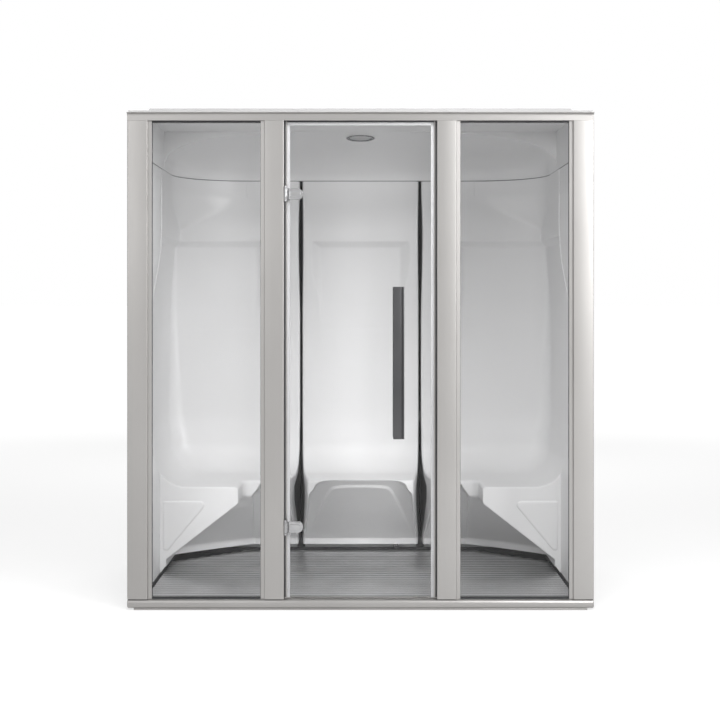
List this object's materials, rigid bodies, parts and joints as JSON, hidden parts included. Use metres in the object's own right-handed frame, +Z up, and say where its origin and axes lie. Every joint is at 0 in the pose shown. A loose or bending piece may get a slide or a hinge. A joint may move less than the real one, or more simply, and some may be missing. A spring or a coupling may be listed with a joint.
{
  "type": "steam sauna cabin",
  "caption": "Glazed steam cabin with a swinging frameless door, moulded seats and walls, domed ceiling with a lamp, slatted floor and drain.",
  "frame": {"origin": "centre of the footprint on the surface that the cabin stands on", "axes": "+X to the right seen from the front, +Y towards the rear wall, +Z up"},
  "size_m": [1.95, 1.284, 2.1],
  "materials": {
    "frame": "satin champagne anodised",
    "side_panes": "clear toughened, faint grey",
    "gaskets": "soft white seal",
    "door_pane": "clear toughened, faint grey",
    "hinge_metal": "polished",
    "fixings": "dark satin",
    "handle_metal": "dark satin",
    "moulding": "glossy moulded acrylic",
    "lamp_metal": "polished",
    "lamp_glass": "frosted",
    "dark_plastic": "matt moulded",
    "skins": "white laminated panel",
    "tray": "matt moulded",
    "slats": "satin grey",
    "drain_metal": "polished",
    "steam_metal": "polished"
  },
  "bodies": {
    "cabin": {"left_post": "frame", "right_post": "frame", "left_mullion": "frame", "right_mullion": "frame", "header_cornice": "frame", "sill_rail": "frame", "levelling_strip": "frame", "left_side_glass": "side_panes", "right_side_glass": "side_panes", "left_glazing_gasket": "gaskets", "right_glazing_gasket": "gaskets", "hinge_side_seal": "gaskets", "latch_side_seal": "gaskets", "head_seal": "gaskets", "ceiling_seal": "gaskets", "hinge_brackets": "hinge_metal", "hinge_pins": "fixings", "centre_module": "moulding", "left_corner_module": "moulding", "right_corner_module": "moulding", "left_front_liner": "moulding", "right_front_liner": "moulding", "ceiling_shell": "moulding", "lamp_bezel": "lamp_metal", "lamp_lens": "lamp_glass", "lamp_driver": "dark_plastic", "cable_gland": "dark_plastic", "grille_bearers": "dark_plastic", "left_side_panel": "skins", "right_side_panel": "skins", "back_panel": "skins", "roof_panel": "skins", "left_rear_post": "skins", "right_rear_post": "skins", "lower_rear_rail": "skins", "upper_rear_rail": "skins", "left_seam_plate": "skins", "right_seam_plate": "skins", "floor_tray": "tray", "grille_slats": "slats", "drain_fitting": "drain_metal", "drain_grate": "drain_metal", "steam_pipe": "steam_metal", "steam_head": "steam_metal"},
    "door": {"door_glass": "door_pane", "hinge_clamps": "hinge_metal", "inner_clamps": "hinge_metal", "clamp_bolts": "fixings", "handle_studs": "fixings", "outer_handle": "handle_metal", "inner_handle": "handle_metal"}
  },
  "joints": [
    {"name": "door_swing", "type": "hinge", "parent": "cabin", "child": "door", "pos_m": [-0.3125, -0.627, 1], "axis": [0, 0, -1], "range_deg": [0, 100]}
  ]
}
